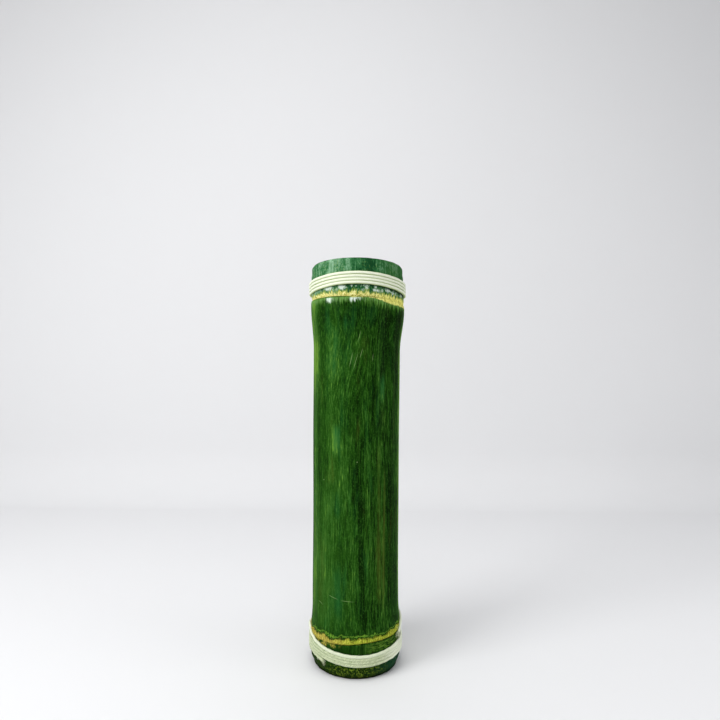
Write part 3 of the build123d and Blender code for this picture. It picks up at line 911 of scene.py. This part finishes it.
def makeCord(cord, material):
    path = cordFrame(cord)
    phi = np.linspace(0, 2 * np.pi, cord["sides"], endpoint=False)[None, :]
    size = cordSection(cord, path.turned, phi)
    out = (size * np.cos(phi) * cord["flat"])[..., None] * path.outward[:, None, :]
    up = (size * np.sin(phi) * cord["tall"])[..., None] * path.upward[:, None, :]
    points = path.centre[:, None, :] + out + up
    length = (path.turned - path.turned[0]) * stem["straight"]
    obj = gridObject(cord["name"], points[None], path.centre[:1], path.centre[-1:], length, [material])
    addAttribute(obj, "crest", np.broadcast_to(np.cos(phi), size.shape))
    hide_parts(cord["node"])
    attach(obj, "root")
    print(cord["name"], len(obj.data.polygons), "faces, length", round(float(length[-1]), 3))


cordLook = {
    # crest colour is the painted highlight of each turn, valley colour its painted shade between turns
    "upper": {"crest": colour(236, 241, 220), "valleyShade": colour(158, 182, 98), "fibre": colour(200, 208, 164),
              "valleyShadeTo": 0.42, "crestFrom": 0.88, "fibreShare": 0.35, "cleanAndLitShare": 0.0},
    "lower": {"crest": colour(212, 220, 184), "valleyShade": colour(156, 174, 118), "fibre": colour(130, 148, 96),
              "valleyShadeTo": 0.1, "crestFrom": 0.66, "fibreShare": 0.95, "cleanAndLitShare": 0.9},
    # this paler colour goes on the lower cord's last turn and loose end, and as painted light on its right
    # side
    "cleanAndLit": colour(234, 239, 216),       # the lower cord's last turn, loose end and right side
    "lastTurn": (0.70, 0.79),             # metres along the cord over which each of the two begins
    "looseEnd": (0.80, 0.86),
    "litRight": (16 * mm, 32 * mm),
    "lineLay": 6 * mm,                    # length in which a fibre line goes once round the cord
}


def paleCord(name, look):
    # matt fibre: fine lines that follow the twist; a painted highlight on each turn's outer face, and painted
    # shade, greened by light reflected from the stem, in the valleys between turns
    material, shader = newMaterial(name)
    run = put("ShaderNodeUVMap", uv_map="run").outputs[0]
    length, around = axisOf(run, 0), axisOf(run, 1)
    slant = weighted(around, (length, 1.0 / cordLook["lineLay"]))
    lines = put("ShaderNodeCombineXYZ", {0: times(slant, 26.0), 1: times(length, 260.0)})
    sockets = {"Vector": lines.outputs[0], "Scale": 1.0, "Detail": 3.0}
    fibre = put("ShaderNodeTexNoise", sockets).outputs[0]
    # painted light: highlight towards the outer face of each turn, shade towards the valleys
    stops = [(look["valleyShadeTo"], look["valleyShade"]), (look["crestFrom"], look["crest"])]
    tint = ramp(vertexValue("crest"), stops)
    tint = cover(tint, times(span(fibre, 0.35, 0.7), look["fibreShare"]), look["fibre"])
    lastTurn = span(length, *cordLook["lastTurn"], 0.0, 0.6 * look["cleanAndLitShare"])
    looseEnd = span(length, *cordLook["looseEnd"], 0.0, look["cleanAndLitShare"])
    across = axisOf(objectPlace(), 0)
    # painted light on the right side of the lower cord
    atRight = span(across, *cordLook["litRight"], 0.0, look["cleanAndLitShare"])
    cleanerAndLit = calc("MAXIMUM", calc("MAXIMUM", lastTurn, looseEnd), atRight)
    tint = cover(tint, cleanerAndLit, cordLook["cleanAndLit"])
    fill(shader, {"Base Color": tint, "Roughness": 0.7, "Sheen Weight": 0.15,
                        "Normal": bumpFrom(fibre, 0.35, 0.15 * mm)})
    return material


# loose fibres of the lower cord: short hairs all along it and a frayed tuft at both ends

fuzz = {
    "hairs": 420, "hairWidth": 0.035 * mm, "hairLength": (0.6 * mm, 1.9 * mm),
    "tuft": 70, "tuftWidth": 0.10 * mm, "tuftSpread": 0.30,
    "tailTuft": (0.8 * mm, 1.8 * mm), "looseTuft": (1.6 * mm, 4.2 * mm),   # shortest and longest
    "fray": 60, "frayFrom": 8 * mm, "frayLength": (1.0 * mm, 2.2 * mm),
    "shade": colour(232, 236, 212),
    "deep": colour(196, 206, 164),
    "steps": 5,                           # points along a strand
}


def strands(roots, ways, aside, lengths, width):
    # each strand is root + length * (t * way + t squared * aside), three-sided and thinner at its tip
    t = np.linspace(0, 1, fuzz["steps"])[None, :, None]
    line = roots[:, None] + lengths[:, None, None] * (t * ways[:, None] + t**2 * aside[:, None])
    first = unit(np.cross(ways, aside))
    second = np.cross(ways, first)
    phi = (np.arange(3) * 2 * np.pi / 3)[None, :, None]
    ring = np.cos(phi) * first[:, None] + np.sin(phi) * second[:, None]
    return line[:, :, None] + (width * (1 - 0.7 * t))[..., None] * ring[:, None], line


def outOf(path, spot, phi):
    # direction out of the cord at an angle from straight away from the stem
    return np.cos(phi) * path.outward[spot] + np.sin(phi) * path.upward[spot]


def hairStrands(own, cord, path):
    # hairs start on the outer half of the cord and lean along it
    count = fuzz["hairs"]
    spot = own.integers(20, len(path.turned) - 20, count)
    out = outOf(path, spot, own.uniform(-1.7, 1.7, count)[:, None])
    either = own.choice([-1.0, 1.0], count)[:, None]
    ways = unit(0.8 * either * path.along[spot] + 0.45 * out + 0.3 * own.normal(size=(count, 3)))
    aside = 0.4 * out + 0.3 * own.normal(size=out.shape)
    lengths = own.uniform(*fuzz["hairLength"], count)
    return strands(path.centre[spot] + 0.9 * cord["radius"] * out, ways, aside, lengths, fuzz["hairWidth"])


def tuftStrands(own, cord, path, end, way, reach):
    # a tuft fans out from a cut end
    count = fuzz["tuft"]
    aroundEnd = own.normal(size=(count, 2)) * 0.55 * cord["radius"]
    roots = path.centre[end] + aroundEnd[:, :1] * path.outward[end] + aroundEnd[:, 1:] * path.upward[end]
    fan = unit(way + fuzz["tuftSpread"] * own.normal(size=(count, 3)))
    droop = 0.25 * own.normal(size=(count, 3)) - np.array([0.0, 0.0, 0.2])
    return strands(roots - way * 0.6 * mm, fan, droop, own.uniform(*reach, count), fuzz["tuftWidth"])


def frayStrands(own, cord, path):
    # the tail frays along its last stretch
    count = fuzz["fray"]
    onTail = np.count_nonzero((path.turned - path.turned[0]) * stem["straight"] < fuzz["frayFrom"])
    spot = own.integers(0, onTail, count)
    out = outOf(path, spot, own.uniform(-1.9, 1.9, count)[:, None])
    ways = unit(-path.along[spot] + 0.25 * out + 0.25 * own.normal(size=(count, 3)))
    droop = 0.2 * own.normal(size=(count, 3)) - np.array([0.0, 0.0, 0.15])
    lengths = own.uniform(*fuzz["frayLength"], count)
    return strands(path.centre[spot] + 0.85 * cord["radius"] * out, ways, droop, lengths, fuzz["tuftWidth"])


def looseFibre():
    material, shader = newMaterial("looseFibre")
    haze = noiseAt(objectPlace(), (900, 900, 900), 2)
    tint = ramp(haze, [(0.35, fuzz["deep"]), (0.65, fuzz["shade"])])
    fill(shader, {"Base Color": tint, "Roughness": 0.8})
    return material


def makeFuzz(cord):
    own = np.random.default_rng(7)
    path = cordFrame(cord)
    groups = [hairStrands(own, cord, path),
              tuftStrands(own, cord, path, 0, -path.along[0], fuzz["tailTuft"]),
              tuftStrands(own, cord, path, -1, path.along[-1], fuzz["looseTuft"]),
              frayStrands(own, cord, path)]
    points, lines = (np.concatenate(group) for group in zip(*groups))
    obj = gridObject("lowerCordFuzz", points, lines[:, 0], lines[:, -1], np.linspace(0, 1, fuzz["steps"]),
                     [looseFibre()])
    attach(obj, "root")
    print("fuzz:", len(obj.data.polygons), "faces")


# glue beads keep their CAD shape and get a clear finish

glueLook = {"deep": colour(190, 192, 150), "pale": colour(226, 226, 200)}


def clearGlue():
    material, shader = newMaterial("clearGlue")
    haze = noiseAt(objectPlace(), (900, 900, 900), 3)
    tint = ramp(haze, [(0.3, glueLook["deep"]), (0.7, glueLook["pale"])])
    fill(shader, {"Base Color": tint, "Roughness": 0.5, "Specular IOR Level": 0.2, "Alpha": 0.12})
    return material


def finishGlue():
    glue = clearGlue()
    for nodeName in ("upper_cord_glue", "lower_cord_glue"):
        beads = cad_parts[nodeName]
        beads.data.materials.clear()
        beads.data.materials.append(glue)
    print("glue beads finished")


# pale floor and backdrop, lights and camera

stage = {
    "front": -3.0, "wall": 0.62, "cove": 0.10, "top": 2.6, "halfWidth": 3.0,
    "shade": colour(232, 232, 233),
}


def makeStage():
    # one sheet: flat floor, quarter-round cove, upright wall
    s = stage
    a = np.linspace(-np.pi / 2, 0, 17)
    y = np.concatenate([[s["front"]], s["wall"] - s["cove"] + s["cove"] * np.cos(a), [s["wall"]]])
    z = np.concatenate([[0.0], s["cove"] + s["cove"] * np.sin(a), [s["top"]]])
    x = np.linspace(-s["halfWidth"], s["halfWidth"], 3)
    points = np.stack(np.broadcast_arrays(x[None, :], y[:, None], z[:, None]), -1)
    corner = np.arange(y.size - 1)[:, None] * 3 + np.arange(2)[None, :]
    faces = np.stack([corner, corner + 1, corner + 4, corner + 3], -1).reshape(-1, 4)
    material, shader = newMaterial("palePaper")
    fill(shader, {"Base Color": s["shade"], "Roughness": 0.8})
    meshObject("paleStage", points.reshape(-1, 3), faces.tolist(), [material])


lamps = {
    # place, size, power
    "softLeft": ((-0.85, -0.62, 0.62), 0.5, 7.0),
    "softTop": ((-0.15, -0.35, 1.15), 0.6, 4.6),
    "softRight": ((0.95, -0.35, 0.35), 0.5, 1.9),
    "aim": (0.0, 0.0, 0.16),
    "skyLow": 0.2,              # world light at the horizon and overhead
    "skyHigh": 0.7,
    "skyShade": (0.97, 0.98, 1.0, 1.0),
}


def softLight(name, place, size, power):
    lamp = bpy.data.lights.new(name, "AREA")
    lamp.size = size
    lamp.energy = power
    obj = bpy.data.objects.new(name, lamp)
    obj.location = place
    obj.rotation_euler = (Vector(lamps["aim"]) - Vector(place)).to_track_quat("-Z", "Y").to_euler()
    scene.collection.objects.link(obj)


def makeLights():
    for name in ("softLeft", "softTop", "softRight"):
        softLight(name, *lamps[name])
    world = bpy.data.worlds.new("softRoom")
    world.use_nodes = True
    wire.tree = world.node_tree
    upwards = axisOf(put("ShaderNodeTexCoord").outputs["Generated"], 2)
    strength = span(upwards, 0.0, 1.0, lamps["skyLow"], lamps["skyHigh"])
    fill(wire.tree.nodes["Background"], {"Color": lamps["skyShade"], "Strength": strength})
    scene.world = world


camera = {
    "away": 409.5 * mm,         # from the lens to the stem's axis
    "height": 201.3 * mm,       # the lens looks level, from a little above half height
    "side": 2.7 * mm,
    "lens": 26.6,
    "sensor": 36.0,
    "shiftUp": 0.0506,
    "roll": 0.45,               # degrees that the photograph leans
}


def makeCamera():
    data = bpy.data.cameras.new("photoCamera")
    data.lens = camera["lens"]
    data.sensor_width = camera["sensor"]
    data.shift_y = camera["shiftUp"]
    data.clip_start = 0.01
    obj = bpy.data.objects.new("photoCamera", data)
    obj.location = (camera["side"], -camera["away"], camera["height"])
    obj.rotation_euler = (math.pi / 2, math.radians(-camera["roll"]), 0)
    scene.collection.objects.link(obj)
    scene.camera = obj


# build everything

makeStem()
makeCord(upperCord, paleCord("creamCord", cordLook["upper"]))
makeCord(lowerCord, paleCord("dullCord", cordLook["lower"]))
makeFuzz(lowerCord)
finishGlue()
makeStage()
makeLights()
makeCamera()
scene.view_settings.view_transform = "Standard"
print("stage, lights and camera placed")
